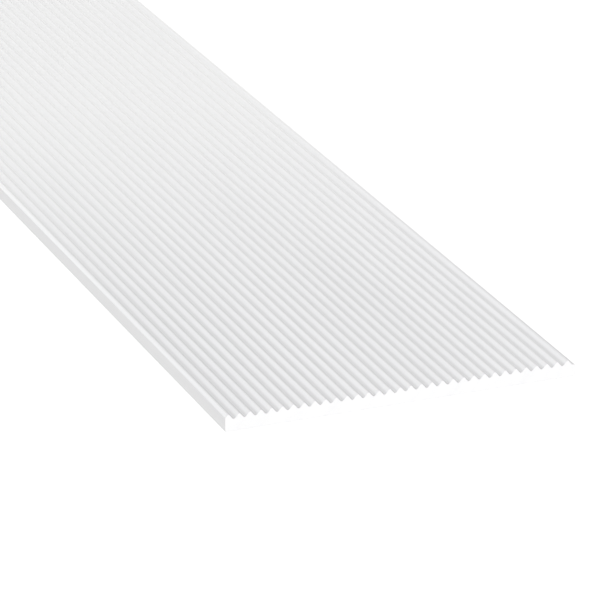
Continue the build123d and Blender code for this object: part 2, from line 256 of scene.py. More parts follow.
def blastedHingeCasting():
    # sand-cast aluminium, bead blasted: grey and matt, with a patchy tone and the sand's fine pits, painted
    # darker as painted shade in their hollows
    look = castFinish
    material, tree, shader, place, (_, tone, bump) = startSurface("blastedHingeCasting", look, Metallic=1.0)
    pits = {"Vector": place, "Scale": 1 / (look["pitSize"] * mm), "Detail": 3.0, "Roughness": 0.6}
    pits = addNode(tree, "ShaderNodeTexNoise", pits)
    least, most = look["pitShare"]
    hollow = {"Value": pits, "From Min": least, "From Max": most, "To Min": 1.0, "To Max": 0.0}
    hollow = addNode(tree, "ShaderNodeMapRange", hollow)
    # painted shade: the sunk pits painted darker
    tones = {"Factor": hollow, "A": tone.outputs[2], "B": toLinear(look["pitShadeColour"])}
    feed(tree, addNode(tree, "ShaderNodeMix", tones, data_type="RGBA"), shader.inputs["Base Color"])
    sunk = {"Height": pits, "Distance": look["pitDepth"] * mm, "Normal": bump}
    sunk["Strength"] = look["pitStrength"]
    feed(tree, addNode(tree, "ShaderNodeBump", sunk), shader.inputs["Normal"])
    return material


stainlessFinish = {
    "colour": "#CBC9C5",
    "dullColour": "#B6B4B0",
    "roughness": (0.22, 0.34),
    "grain": (2.5, 2.5, 0.5),
    "grainDepth": 0.03,
    "grainStrength": 0.3,
    "patch": (11.0, 11.0, 11.0),
}


def turnedStainless():
    # stainless bar, turned or cold formed, then passivated: bright warm grey with tight tool marks
    return startSurface("turnedStainless", stainlessFinish, Metallic=1.0)[0]


sheetFinish = {
    "colour": "#C6C5C2",
    "dullColour": "#BCBBB8",
    "roughness": (0.26, 0.34),
    "grain": (240.0, 0.8, 0.8),
    "grainDepth": 0.04,
    "grainStrength": 0.35,
    "patch": (200.0, 90.0, 90.0),
    "scuffColour": "#B3B2AF",
    "scuff": (260.0, 2.6, 2.6),
    "scuffShare": (0.45, 0.7),
    "scuffDulling": 0.05,
}


def brushedWearSheet():
    # Stainless sheet brushed along its length, dulled in fine long streaks where the fulcrum rolls on it.
    # Brushing is finer than this on the real sheet, and is drawn coarser so that it still shows.
    look = sheetFinish
    material, tree, shader, place, (_, tone, _) = startSurface("brushedWearSheet", look, Metallic=1.0)
    cells = {"Vector": place, "Scale": [1 / (size * mm) for size in look["scuff"]]}
    cells = addNode(tree, "ShaderNodeMapping", cells)
    scuffs = addNode(tree, "ShaderNodeTexNoise", {"Vector": cells, "Scale": 1.0, "Detail": 4.0})
    least, most = look["scuffShare"]
    share = addNode(tree, "ShaderNodeMapRange", {"Value": scuffs, "From Min": least, "From Max": most})
    tones = {"Factor": share, "A": tone.outputs[2], "B": toLinear(look["scuffColour"])}
    feed(tree, addNode(tree, "ShaderNodeMix", tones, data_type="RGBA"), shader.inputs["Base Color"])
    smooth, rough = look["roughness"]
    dulled = {"Value": share, "To Min": smooth, "To Max": rough + look["scuffDulling"]}
    dulled = addNode(tree, "ShaderNodeMapRange", dulled)
    feed(tree, dulled, shader.inputs["Roughness"])
    return material


bronzeFinish = {
    "colour": "#B98A4E",
    "dullColour": "#8C6534",
    "roughness": (0.28, 0.46),
    "grain": (3.5, 0.7, 3.5),
    "grainDepth": 0.03,
    "grainStrength": 0.3,
    "patch": (9.0, 9.0, 9.0),
}


def oiledBearingBronze():
    # sintered bearing bronze, turned: brown gold, darker where oil has weathered on it
    return startSurface("oiledBearingBronze", bronzeFinish, Metallic=1.0)[0]


rubberFinish = {
    "colour": "#1D1E20",
    "dullColour": "#36383B",
    "roughness": (0.62, 0.84),
    "grain": (0.8, 0.8, 0.8),
    "grainDepth": 0.08,
    "grainStrength": 0.4,
    "patch": (28.0, 28.0, 14.0),
}


def mouldedRubber():
    # black EPDM sheet from a matt mould: soft dark grey with a dusty bloom
    return startSurface("mouldedRubber", rubberFinish, Specular_IOR_Level=0.4)[0]


nylonFinish = {
    "colour": "#E9E6DA",
    "dullColour": "#DDD9CA",
    "roughness": (0.42, 0.54),
    "grain": (1.2, 1.2, 1.2),
    "grainDepth": 0.03,
    "grainStrength": 0.3,
    "patch": (10.0, 10.0, 10.0),
}


def naturalNylon():
    # injection-moulded nylon, undyed: waxy, faintly translucent at its edges
    return startSurface("naturalNylon", nylonFinish, Subsurface_Weight=0.15, Subsurface_Scale=2 * mm)[0]


cast = blastedHingeCasting()
stainless = turnedStainless()
sheet = brushedWearSheet()
bronze = oiledBearingBronze()
rubber = mouldedRubber()
nylon = naturalNylon()
mill = millPlankAluminium()
print("materials mixed")


# Mesh helpers


def linkPiece(name, mesh, body, nodes):
    piece = bpy.data.objects.new(name, mesh)
    bpy.context.scene.collection.objects.link(piece)
    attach(piece, body)
    if nodes:
        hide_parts(*nodes)
    return piece


def smoothed(mesh, sharpDegrees=32):
    # faces out, and shading that is smooth except across real edges
    shape = bmesh.new()
    shape.from_mesh(mesh)
    bmesh.ops.recalc_face_normals(shape, faces=shape.faces)
    for face in shape.faces:
        face.smooth = True
    for edge in shape.edges:
        if len(edge.link_faces) == 2:
            edge.smooth = edge.calc_face_angle() < radians(sharpDegrees)
    shape.to_mesh(mesh)
    shape.free()
    return mesh


def applied(mesh, *modifiers):
    # the mesh with these modifiers applied, each a type and its settings
    holder = bpy.data.objects.new(mesh.name, mesh)
    bpy.context.scene.collection.objects.link(holder)
    for kind, settings in modifiers:
        step = holder.modifiers.new(kind.lower(), kind)
        for label, value in settings.items():
            setattr(step, label, value)
    bpy.context.view_layer.update()
    graph = bpy.context.evaluated_depsgraph_get()
    result = bpy.data.meshes.new_from_object(holder.evaluated_get(graph))
    result.name = mesh.name
    bpy.data.objects.remove(holder)
    return result


def carved(mesh, cutter):
    tool = bpy.data.objects.new("tool", cutter)
    bpy.context.scene.collection.objects.link(tool)
    result = applied(mesh, ("BOOLEAN", {"operation": "DIFFERENCE", "solver": "EXACT", "object": tool}))
    bpy.data.objects.remove(tool)
    return result


weld = 1e-6  # metres; points this near are one point


def cadShape(node):
    # a copy of a CAD node's mesh, with its faces joined where they meet
    shape = bmesh.new()
    shape.from_mesh(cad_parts[node].data)
    bmesh.ops.remove_doubles(shape, verts=shape.verts, dist=weld)
    return shape


def kept(shape, name):
    # the plain mesh of a shape that is finished
    mesh = bpy.data.meshes.new(name)
    shape.to_mesh(mesh)
    shape.free()
    return mesh


def solidBoxes(node):
    # lowest and highest corner of each separate solid of a CAD node, in order of place
    shape = cadShape(node)
    left = set(shape.verts)
    boxes = []
    while left:
        reached = [left.pop()]
        points = []
        while reached:
            vert = reached.pop()
            points.append(vert.co.copy())
            others = [edge.other_vert(vert) for edge in vert.link_edges]
            reached += [other for other in others if other in left]
            left.difference_update(others)
        low = Vector([min(p[axis] for p in points) for axis in range(3)])
        high = Vector([max(p[axis] for p in points) for axis in range(3)])
        boxes.append((low, high))
    shape.free()
    return sorted(boxes, key=lambda box: [round(c, 4) for c in box[0]])


def startTree(name, inputs):
    # a geometry node tree with named inputs, each a kind of socket and its first value
    tree = bpy.data.node_groups.new(name, "GeometryNodeTree")
    tree.interface.new_socket(name="Geometry", in_out="INPUT", socket_type="NodeSocketGeometry")
    for label, (kind, value) in inputs.items():
        socket = tree.interface.new_socket(name=label, in_out="INPUT", socket_type="NodeSocket" + kind)
        if value is not None:
            socket.default_value = value
    tree.interface.new_socket(name="Geometry", in_out="OUTPUT", socket_type="NodeSocketGeometry")
    return tree, addNode(tree, "NodeGroupInput").outputs


def endTree(tree, shape, material):
    whole = addNode(tree, "GeometryNodeRealizeInstances", {"Geometry": shape})
    painted = addNode(tree, "GeometryNodeSetMaterial", {"Geometry": whole, "Material": material})
    addNode(tree, "NodeGroupOutput", {"Geometry": painted})


def grown(name, tree, values, seed):
    # runs the tree on a seed mesh and keeps only the plain result
    holder = bpy.data.objects.new(name, seed)
    bpy.context.scene.collection.objects.link(holder)
    step = holder.modifiers.new("grow", "NODES")
    step.node_group = tree
    for item in tree.interface.items_tree:
        if item.in_out == "INPUT" and item.name in values:
            step[item.identifier] = values[item.name]
    bpy.context.view_layer.update()
    graph = bpy.context.evaluated_depsgraph_get()
    mesh = bpy.data.meshes.new_from_object(holder.evaluated_get(graph))
    mesh.name = name
    mesh.materials.clear()
    mesh.materials.append(values["Material"])
    for face in mesh.polygons:
        face.material_index = 0
    bpy.data.objects.remove(holder)
    return mesh


# Turned parts: an outline is spun round its axis, given a hexagon, and set out at its places


def turnedTree():
    sizes = {
        "Places": ("Object", None), "Facets": ("Int", 48), "Bend steps": ("Int", 4),
        "Hexagon width": ("Float", 0.0), "Hexagon middle": ("Float", 0.0),
        "Hexagon length": ("Float", 0.01), "Hexagon is outside": ("Bool", False),
        "Largest turn": ("Float", 0.0), "Seed": ("Int", 1), "Material": ("Material", None),
    }
    tree, given = startTree("turnedParts", sizes)
    spindle = 1 * mm  # the path the outline is swept round; the outline is moved in by as much
    line = addNode(tree, "GeometryNodeMeshToCurve", {0: given["Geometry"]})
    bend = addNode(tree, "GeometryNodeInputNamedAttribute", {"Name": "bend"}, data_type="FLOAT")
    bends = {"Curve": line, "Count": given["Bend steps"], "Radius": bend, "Limit Radius": True}
    rounded = addNode(tree, "GeometryNodeFilletCurve", bends, mode="POLY")
    moved = {"Geometry": rounded, "Translation": (-spindle, 0.0, 0.0), "Scale": (1.0, -1.0, 1.0)}
    moved = addNode(tree, "GeometryNodeTransform", moved)
    path = {"Resolution": given["Facets"], "Radius": spindle}
    path = addNode(tree, "GeometryNodeCurvePrimitiveCircle", path)
    spun = addNode(tree, "GeometryNodeCurveToMesh", {"Curve": path, "Profile Curve": moved})
    whole = addNode(tree, "GeometryNodeMergeByDistance", {"Geometry": spun, "Distance": weld})
    corner = {0: given["Hexagon width"], 1: 1 / sqrt(3)}
    corner = addNode(tree, "ShaderNodeMath", corner, operation="MULTIPLY")
    prism = {"Vertices": 6, "Radius": corner, "Depth": given["Hexagon length"]}
    prism = addNode(tree, "GeometryNodeMeshCylinder", prism)
    height = addNode(tree, "ShaderNodeCombineXYZ", {"Z": given["Hexagon middle"]})
    prism = addNode(tree, "GeometryNodeTransform", {"Geometry": prism, "Translation": height})
    socket = {"Mesh 1": whole, "Mesh 2": prism}
    socket = addNode(tree, "GeometryNodeMeshBoolean", socket, operation="DIFFERENCE", solver="EXACT")
    flats = {"Mesh 2": whole}
    flats = addNode(tree, "GeometryNodeMeshBoolean", flats, operation="INTERSECT", solver="EXACT")
    feed(tree, prism, flats.inputs["Mesh 2"])
    chosen = {"Switch": given["Hexagon is outside"], "False": socket, "True": flats}
    chosen = addNode(tree, "GeometryNodeSwitch", chosen, input_type="GEOMETRY")
    hexed = {"A": given["Hexagon width"], "B": 0.0}
    hexed = addNode(tree, "FunctionNodeCompare", hexed, operation="GREATER_THAN")
    shape = {"Switch": hexed, "False": whole, "True": chosen}
    shape = addNode(tree, "GeometryNodeSwitch", shape, input_type="GEOMETRY")
    places = addNode(tree, "GeometryNodeObjectInfo", {"Object": given["Places"]}).outputs["Geometry"]
    lie = addNode(tree, "GeometryNodeInputNamedAttribute", {"Name": "lie"}, data_type="FLOAT_VECTOR")
    points = {"Points": places, "Instance": shape, "Rotation": lie}
    spread = addNode(tree, "GeometryNodeInstanceOnPoints", points)
    chance = {"Min": 0.0, "Max": given["Largest turn"], "Seed": given["Seed"]}
    chance = addNode(tree, "FunctionNodeRandomValue", chance, data_type="FLOAT")
    turn = addNode(tree, "ShaderNodeCombineXYZ", {"Z": chance})
    turned = {"Instances": spread, "Rotation": turn, "Local Space": True}
    turned = addNode(tree, "GeometryNodeRotateInstances", turned)
    endTree(tree, turned, given["Material"])
    return tree


turnedPartsTree = turnedTree()


def pointsObject(name, places):
    # one point for each place, with the turn that lays the part's axis there
    mesh = bpy.data.meshes.new(name)
    mesh.from_pydata([point for point, _ in places], [], [])
    lie = mesh.attributes.new("lie", "FLOAT_VECTOR", "POINT")
    for item, (_, turn) in zip(lie.data, places):
        item.vector = turn
    holder = bpy.data.objects.new(name, mesh)
    bpy.context.scene.collection.objects.link(holder)
    return holder


def outlineMesh(name, outline, closed):
    # an outline of (radius, height, bend radius) corners, in millimetres
    mesh = bpy.data.meshes.new(name)
    count = len(outline)
    edges = [(i, (i + 1) % count) for i in range(count if closed else count - 1)]
    mesh.from_pydata([(radius * mm, height * mm, 0) for radius, height, _ in outline], edges, [])
    bend = mesh.attributes.new("bend", "FLOAT", "POINT")
    for item, (_, _, radius) in zip(bend.data, outline):
        item.value = radius * mm
    return mesh


def turnedPieces(name, outline, places, material, closed=True, hexagon=None, facets=48, freeTurn=False):
    holder = pointsObject(name + "Places", places)
    values = {"Places": holder, "Facets": facets, "Material": material, "Seed": len(name)}
    values["Largest turn"] = 2 * pi if freeTurn else 0.0
    if hexagon:
        width, low, high, outside = hexagon
        values["Hexagon width"] = width * mm
        values["Hexagon middle"] = (low + high) / 2 * mm
        values["Hexagon length"] = (high - low) * mm
        values["Hexagon is outside"] = outside
    mesh = grown(name, turnedPartsTree, values, outlineMesh(name + "Outline", outline, closed))
    bpy.data.objects.remove(holder)
    return smoothed(mesh)


def standing(node):
    # places of parts whose axis stands upright, at the middle of each one's foot
    middles = [((low + high) / 2, low.z) for low, high in solidBoxes(node)]
    return [((middle.x, middle.y, foot), (0, 0, 0)) for middle, foot in middles]


def washerOutline(bore, diameter, thickness, edge):
    inner, outer = bore / 2, diameter / 2
    return [(inner, 0, edge / 2), (outer, 0, edge), (outer, thickness, edge), (inner, thickness, edge / 2)]


def sizeOf(node):
    # size of one of the node's solids, in millimetres
    low, high = solidBoxes(node)[0]
    return (high - low) / mm


# Plank: the tread's outline drawn with sharp corners, every corner rounded, then pulled out to its length

plank = {
    "ribPitch": 15.1,
    "ribHeight": 6.4,
    "ribRadius": 2.2,
    "firstCrest": 4.6,
    "leastLand": 4.5,
    "upperCorner": 3.0,
    "lowerCorner": 1.5,
    "firstCorner": 1.2,
    "bendSteps": 6,
    "sawEdge": 0.3,
    "pocketRadius": 21.0,
    "pocketFloor": 12.0,
    "pocketBend": 0.6,
    "sleeveHoleRadius": 8.25,
    "cutPast": 10.0,
    "millMargin": 1.0,
    "sharpDegrees": 30,
}


def ribbedPlankTree():
    sizes = {
        "Plank length": ("Float", 4.8), "Plank width": ("Float", 0.5), "Rear end": ("Float", 0.0),
        "Underside": ("Float", 0.0), "Rib count": ("Int", 33), "Rib pitch": ("Float", 0.015),
        "First crest": ("Float", 0.005), "Peak height": ("Float", 0.025), "Trough height": ("Float", 0.016),
        "Land start": ("Float", 0.49), "Land height": ("Float", 0.018),
        "First corner height": ("Float", 0.02), "Rib radius": ("Float", 0.002),
        "Upper corner radius": ("Float", 0.003),
        "Lower corner radius": ("Float", 0.001), "First corner radius": ("Float", 0.001),
        "Bend steps": ("Int", 6), "Material": ("Material", None),
    }
    tree, given = startTree("ribbedPlank", sizes)
    index = addNode(tree, "GeometryNodeInputIndex")
    apexes = {0: given["Rib count"], 1: 2.0, 2: -1.0}
    apexes = addNode(tree, "ShaderNodeMath", apexes, operation="MULTIPLY_ADD")
    count = addNode(tree, "ShaderNodeMath", {0: apexes, 1: 5.0}, operation="ADD")
    chain = addNode(tree, "GeometryNodeMeshLine", {"Count": count})
    onRibs = addNode(tree, "ShaderNodeMath", {0: index, 1: apexes}, operation="LESS_THAN")
    half = addNode(tree, "ShaderNodeMath", {0: given["Rib pitch"], 1: 0.5}, operation="MULTIPLY")
    step = {0: index, 1: half, 2: given["First crest"]}
    across = addNode(tree, "ShaderNodeMath", step, operation="MULTIPLY_ADD")
    odd = addNode(tree, "ShaderNodeMath", {0: index, 1: 1.0}, operation="PINGPONG")
    ends = {"Value": odd, "To Min": given["Peak height"], "To Max": given["Trough height"]}
    height = addNode(tree, "ShaderNodeMapRange", ends)
    apex = addNode(tree, "ShaderNodeCombineXYZ", {"X": across, "Y": height})
    corners = [
        ({"X": given["Land start"], "Y": given["Land height"]}, given["Rib radius"]),
        ({"X": given["Plank width"], "Y": given["Land height"]}, given["Upper corner radius"]),
        ({"X": given["Plank width"]}, given["Lower corner radius"]),
        ({}, given["Lower corner radius"]),
        ({"Y": given["First corner height"]}, given["First corner radius"]),
    ]
    turn = addNode(tree, "ShaderNodeMath", {0: index, 1: apexes}, operation="SUBTRACT")
    corner = addNode(tree, "GeometryNodeIndexSwitch", {"Index": turn}, data_type="VECTOR")
    cornerRadius = addNode(tree, "GeometryNodeIndexSwitch", {"Index": turn}, data_type="FLOAT")
    for spot, (point, radius) in enumerate(corners, 1):
        if spot > 2:
            corner.index_switch_items.new()
            cornerRadius.index_switch_items.new()
        feed(tree, addNode(tree, "ShaderNodeCombineXYZ", point), corner.inputs[spot])
        feed(tree, radius, cornerRadius.inputs[spot])
    choice = {"Switch": onRibs, "False": corner, "True": apex}
    point = addNode(tree, "GeometryNodeSwitch", choice, input_type="VECTOR")
    choice = {"Switch": onRibs, "False": cornerRadius, "True": given["Rib radius"]}
    radius = addNode(tree, "GeometryNodeSwitch", choice, input_type="FLOAT")
    zigzag = addNode(tree, "GeometryNodeSetPosition", {"Geometry": chain, "Position": point})
    outline = addNode(tree, "GeometryNodeMeshToCurve", {0: zigzag})
    closed = addNode(tree, "GeometryNodeSetSplineCyclic", {0: outline, "Cyclic": True})
    bends = {"Curve": closed, "Count": given["Bend steps"], "Radius": radius, "Limit Radius": True}
    rounded = addNode(tree, "GeometryNodeFilletCurve", bends, mode="POLY")
    section = addNode(tree, "GeometryNodeFillCurve", {0: rounded}, mode="NGONS")
    pull = {"Mesh": section, "Offset": (0.0, 0.0, 1.0), "Offset Scale": given["Plank length"]}
    pull["Individual"] = False
    pulled = addNode(tree, "GeometryNodeExtrudeMesh", pull)
    start = addNode(tree, "GeometryNodeFlipFaces", {0: section})
    both = addNode(tree, "GeometryNodeJoinGeometry", {0: pulled})
    feed(tree, start, both.inputs[0])
    sealed = addNode(tree, "GeometryNodeMergeByDistance", {"Geometry": both, "Distance": weld})
    left = addNode(tree, "ShaderNodeMath", {0: given["Plank width"], 1: -0.5}, operation="MULTIPLY")
    home = {"X": given["Rear end"], "Y": left, "Z": given["Underside"]}
    home = addNode(tree, "ShaderNodeCombineXYZ", home)
    laid = {"Geometry": sealed, "Translation": home, "Rotation": (pi / 2, 0.0, pi / 2)}
    endTree(tree, addNode(tree, "GeometryNodeTransform", laid), given["Material"])
    return tree


def plankSizes():
    # the flank angle is the one that leaves the ribs their height once crests and valleys are rounded
    low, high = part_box("plank")
    pitch, height, radius = [plank[label] * mm for label in ("ribPitch", "ribHeight", "ribRadius")]
    first = plank["firstCrest"] * mm
    rise = height - 2 * radius
    flank = atan(rise / (pitch / 2)) + asin(2 * radius / hypot(pitch / 2, rise))
    slope = tan(flank)
    roundedOff = radius * (1 / cos(flank) - 1)
    thickness = high.z - low.z
    width = high.y - low.y
    peak = thickness + roundedOff
    land = thickness - height
    lastFlank = (peak - land) / slope
    ribs = int((width - first - lastFlank - plank["leastLand"] * mm) / pitch) + 1
    return {
        "Plank length": high.x - low.x, "Plank width": width, "Rear end": low.x, "Underside": low.z,
        "Rib count": ribs, "Rib pitch": pitch, "First crest": first,
        "Peak height": peak, "Trough height": land - roundedOff,
        "Land start": first + (ribs - 1) * pitch + lastFlank, "Land height": land,
        "First corner height": peak - first * slope, "Rib radius": radius,
        "Upper corner radius": plank["upperCorner"] * mm, "Lower corner radius": plank["lowerCorner"] * mm,
        "First corner radius": plank["firstCorner"] * mm, "Bend steps": plank["bendSteps"],
    }


def deburred(mesh, rear, tip):
    # the saw's sharp edge is rubbed off all round both ends
    shape = bmesh.new()
    shape.from_mesh(mesh)
    ends = [
        edge for edge in shape.edges
        if any(all(abs(vert.co.x - end) < weld for vert in edge.verts) for end in (rear, tip))
    ]
    bmesh.ops.bevel(
        shape, geom=ends, offset=plank["sawEdge"] * mm, segments=1, profile=0.5, affect="EDGES",
        clamp_overlap=True,
    )
    shape.to_mesh(mesh)
    shape.free()
    return mesh


def plankFinish(face, pocketFloor):
    # 0 for the etched tread, 1 for the sides, underside, pockets and holes, painted a shade greyer as
    # painted shade, 2 for the sawn ends, told by the way a face looks. The rubbed edges of the ends are too
    # small to count as ends.
    if abs(face.normal.x) > 0.99 and face.area > 1e-4:
        return 2
    if abs(face.normal.y) > 0.9 or face.normal.z < -0.5 or face.center.z < pocketFloor:
        return 1
    return 0


def makePlank():
    sizes = plankSizes()
    low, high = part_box("plank")
    tread = etchedTreadAluminium(high.z - plank["ribHeight"] * mm, high.z, high.x)
    sawn = sawnPlankAluminium(low.z)
    sizes["Material"] = tread
    mesh = grown("plankBlank", ribbedPlankTree(), sizes, bpy.data.meshes.new("plankBlank"))
    mesh = deburred(mesh, low.x, high.x)
    hole, wide, floor = plank["sleeveHoleRadius"], plank["pocketRadius"], plank["pocketFloor"]
    below = -plank["cutPast"]
    above = (high.z - low.z) / mm + plank["cutPast"]
    plug = [(0, below, 0), (hole, below, 0), (hole, floor, 0), (wide, floor, plank["pocketBend"])]
    plug += [(wide, above, 0), (0, above, 0)]
    places = [((x, y, low.z), turn) for (x, y, _), turn in standing("bolt_sleeves")]
    mesh = carved(mesh, turnedPieces("pockets", plug, places, mill, closed=False, facets=64))
    mesh = smoothed(mesh, plank["sharpDegrees"])
    mesh.name = "plankRibbed"
    mesh.materials.clear()
    for material in (tread, mill, sawn):
        mesh.materials.append(material)
    milled = low.z + (floor + plank["millMargin"]) * mm
    for face in mesh.polygons:
        face.material_index = plankFinish(face, milled)
    linkPiece("plankRibbed", mesh, boardBody, ["plank"])


makePlank()
print("plank made")


# Bolts through the plank and the hinge leaves, from crest to tail

boltSet = {
    "headHeight": 6.6,
    "headDome": 4.4,
    "headBend": 0.3,
    "shank": 12.0,
    "threadPitch": 1.75,
    "threadDepth": 0.9,
    "threadLength": 7.0,
    "threadStart": 0.6,
    "threadCrest": (0.25, 0.65),
    "threadRoot": 1.45,
    "threadRunout": 0.8,
    "tailChamfer": 0.2,
    "socket": 8.0,
    "socketDepth": 4.0,
    "cutPast": 5.0,
    "bore": 13.0,
    "washerEdge": 0.6,
    "sleeveFlange": 1.5,
    "sleeveFit": 0.15,
    "nutWidth": 19.0,
    "nutHeight": 10.0,
    "nutChamfer": 1.2,
    "nutBore": 12.1,
    "collar": 16.6,
    "collarWall": 1.1,
    "insertBore": 11.4,
}


def boltOutline(length, head):
    look = boltSet
    shank = look["shank"] / 2
    root = shank - look["threadDepth"]
    outline = [(0, 0, 0), (root - look["tailChamfer"], 0, 0)]
    turns = int(look["threadLength"] / look["threadPitch"])
    crestStart, crestEnd = look["threadCrest"]
    for turn in range(turns):
        start = look["threadStart"] + turn * look["threadPitch"]
        outline += [(shank, start + crestStart, 0), (shank, start + crestEnd, 0)]
        outline.append((root, start + look["threadRoot"], 0))
    seat = length - look["headHeight"]
    runout = look["threadRunout"] + turns * look["threadPitch"]
    outline += [(shank, runout, 0), (shank, seat, 0), (head, seat, look["headBend"])]
    return outline + [(head, length, look["headDome"]), (0, length, 0)]


def makeBoltSets():
    look = boltSet
    size = sizeOf("board_bolts")
    socket = (look["socket"], size.z - look["socketDepth"], size.z + look["cutPast"], False)
    mesh = turnedPieces(
        "boardBolts", boltOutline(size.z, size.x / 2), standing("board_bolts"), stainless,
        closed=False, hexagon=socket, facets=40, freeTurn=True,
    )
    linkPiece("boardBolts", mesh, boardBody, ["board_bolts"])
    for name, node in (("boltWashers", "bolt_washers"), ("leafWashers", "leaf_washers")):
        size = sizeOf(node)
        outline = washerOutline(look["bore"], size.x, size.z, look["washerEdge"])
        mesh = turnedPieces(name, outline, standing(node), stainless)
        linkPiece(name, mesh, boardBody, [node])
    size = sizeOf("bolt_sleeves")
    tube, flange = plank["sleeveHoleRadius"] - look["sleeveFit"], size.x / 2
    shoulder = size.z - look["sleeveFlange"]
    outline = [(look["bore"] / 2, 0, 0.2), (tube, 0, 0.3), (tube, shoulder, 0), (flange, shoulder, 0.4)]
    outline += [(flange, size.z, 0.5), (look["bore"] / 2, size.z, 0.2)]
    mesh = turnedPieces("boltSleeves", outline, standing("bolt_sleeves"), nylon)
    linkPiece("boltSleeves", mesh, boardBody, ["bolt_sleeves"])


def makeLockNuts():
    # A chamfered hexagon, the rolled collar under it, and the nylon ring that the collar holds. The small
    # numbers here are breaks of its edges, in millimetres.
    look = boltSet
    size = sizeOf("lock_nuts")
    bore, corner = look["nutBore"] / 2, look["nutWidth"] / sqrt(3) + 0.1
    foot, flat = size.z - look["nutHeight"], look["nutWidth"] / 2 - 0.3
    body = [(bore, foot, 0), (flat, foot, 0), (corner, foot + look["nutChamfer"], 0)]
    body += [(corner, size.z - 0.5, 0), (flat + 0.6, size.z, 0), (bore + 0.8, size.z, 0)]
    body.append((bore, size.z - 0.8, 0))
    places = standing("lock_nuts")
    hexagon = (look["nutWidth"], foot - 1, size.z + 1, True)
    mesh = turnedPieces("lockNuts", body, places, stainless, hexagon=hexagon)
    linkPiece("lockNuts", mesh, boardBody, ["lock_nuts"])
    wall = look["collar"] / 2
    inside, top = wall - look["collarWall"], foot + 0.5
    rolled = [(inside, 0, 0.4), (wall, 0, 1.0), (wall, top, 0), (inside, top, 0)]
    mesh = turnedPieces("nutCollars", rolled, places, stainless)
    linkPiece("nutCollars", mesh, boardBody, [])
    ring = [(look["insertBore"] / 2, 0.5, 0.3), (wall - 1.0, 0.5, 0.3), (wall - 1.0, foot, 0)]
    ring += [(look["insertBore"] / 2, foot, 0)]
    mesh = turnedPieces("nutInserts", ring, places, nylon)
    linkPiece("nutInserts", mesh, boardBody, [])


makeBoltSets()
makeLockNuts()
print("bolts, washers, sleeves and nuts set out")


# Wear plate, its bedding and the hinge pads: flat sheets, each built up in layers from a rounded outline


def layeredSheet(name, low, high, corner, layers, cornerSteps=10):
    # each layer is how far the edge stands out, and its share of the thickness; the faces close both ends
    shape = bmesh.new()
    rings = []
    left, right, front, back = low.x + corner, high.x - corner, low.y + corner, high.y - corner
    for standsOut, share in layers:
        height = low.z + share * (high.z - low.z)
        reach = corner + standsOut
        ring = []
        for quarter, (x, y) in enumerate(((right, back), (left, back), (left, front), (right, front))):
            for step in range(cornerSteps + 1):
                turn = pi / 2 * (quarter + step / cornerSteps)
                ring.append(shape.verts.new((x + reach * cos(turn), y + reach * sin(turn), height)))
        rings.append(ring)
    shape.faces.new(rings[0][::-1])
    shape.faces.new(rings[-1])
    for lower, upper in zip(rings, rings[1:]):
        for spot in range(len(lower)):
            after = (spot + 1) % len(lower)
            shape.faces.new((lower[spot], lower[after], upper[after], upper[spot]))
    return kept(shape, name)


def roundedEdge(radius, thickness, steps=3):
    # layers of a sheet whose two edges are rounded
    share = radius / thickness
    turns = [pi / 2 * step / steps for step in range(steps + 1)]
    below = [(-radius * (1 - sin(turn)), share * (1 - cos(turn))) for turn in turns]
    return below + [(standsOut, 1 - part) for standsOut, part in reversed(below)]


def squeezedEdge(bulge, rounding, steps=8):
    # layers of a sheet of rubber under load: its edge bellies out between its two faces
    shares = [step / steps for step in range(steps + 1)]
    return [(bulge * sin(pi * share) - rounding * abs(cos(pi * share)) ** 8, share) for share in shares]


plateSet = {
    "plateCorner": 15.0,
    "plateEdge": 0.8,
    "beddingBulge": 0.5,
    "headWidth": 12.6,
    "holeWidth": 6.6,
    "screw": 6.0,
    "sink": 0.4,
    "cutPast": 5.0,
    "screwBend": 0.3,
    "screwTip": 0.6,
    "socket": 4.0,
    "socketDepth": 2.2,
}


def makeWearPlate():
    look = plateSet
    low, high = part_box("wear_plate")
    thickness = high.z - low.z
    edge = roundedEdge(look["plateEdge"] * mm, thickness)
    mesh = layeredSheet("wearPlate", low, high, look["plateCorner"] * mm, edge)
    mesh.materials.append(sheet)
    places = [((x, y, low.z), turn) for (x, y, _), turn in standing("wear_plate_screws")]
    wide, narrow = look["headWidth"] / 2, look["holeWidth"] / 2
    sunk = look["sink"] + wide - narrow
    below, above = -look["cutPast"], thickness / mm + look["cutPast"]
    seat = [(0, below, 0), (wide, below, 0), (wide, look["sink"], 0), (narrow, sunk, 0)]
    seat += [(narrow, above, 0), (0, above, 0)]
    mesh = carved(mesh, turnedPieces("screwSeats", seat, places, sheet, closed=False, facets=32))
    linkPiece("wearPlate", smoothed(mesh), boardBody, ["wear_plate"])
    low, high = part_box("wear_plate_bedding")
    edge = squeezedEdge(look["beddingBulge"] * mm, 0)
    mesh = layeredSheet("wearPlateBedding", low, high, look["plateCorner"] * mm, edge)
    mesh.materials.append(rubber)
    mesh = smoothed(mesh, sharpDegrees=60)
    linkPiece("wearPlateBedding", mesh, boardBody, ["wear_plate_bedding"])


def makeWearPlateScrews():
    look = plateSet
    size = sizeOf("wear_plate_screws")
    head, shank = size.x / 2, look["screw"] / 2
    bend, tip = look["screwBend"], look["screwTip"]
    outline = [(0, 0, 0), (head, 0, bend / 2), (shank, head - shank, bend), (shank, size.z - tip, 0)]
    outline += [(shank - tip, size.z, 0), (0, size.z, 0)]
    mesh = turnedPieces(
        "wearPlateScrews", outline, standing("wear_plate_screws"), stainless, closed=False,
        hexagon=(look["socket"], -2, look["socketDepth"], False), facets=32, freeTurn=True,
    )
    linkPiece("wearPlateScrews", mesh, boardBody, ["wear_plate_screws"])


padSet = {"corner": 14.0, "bulge": 1.0, "rounding": 0.8}


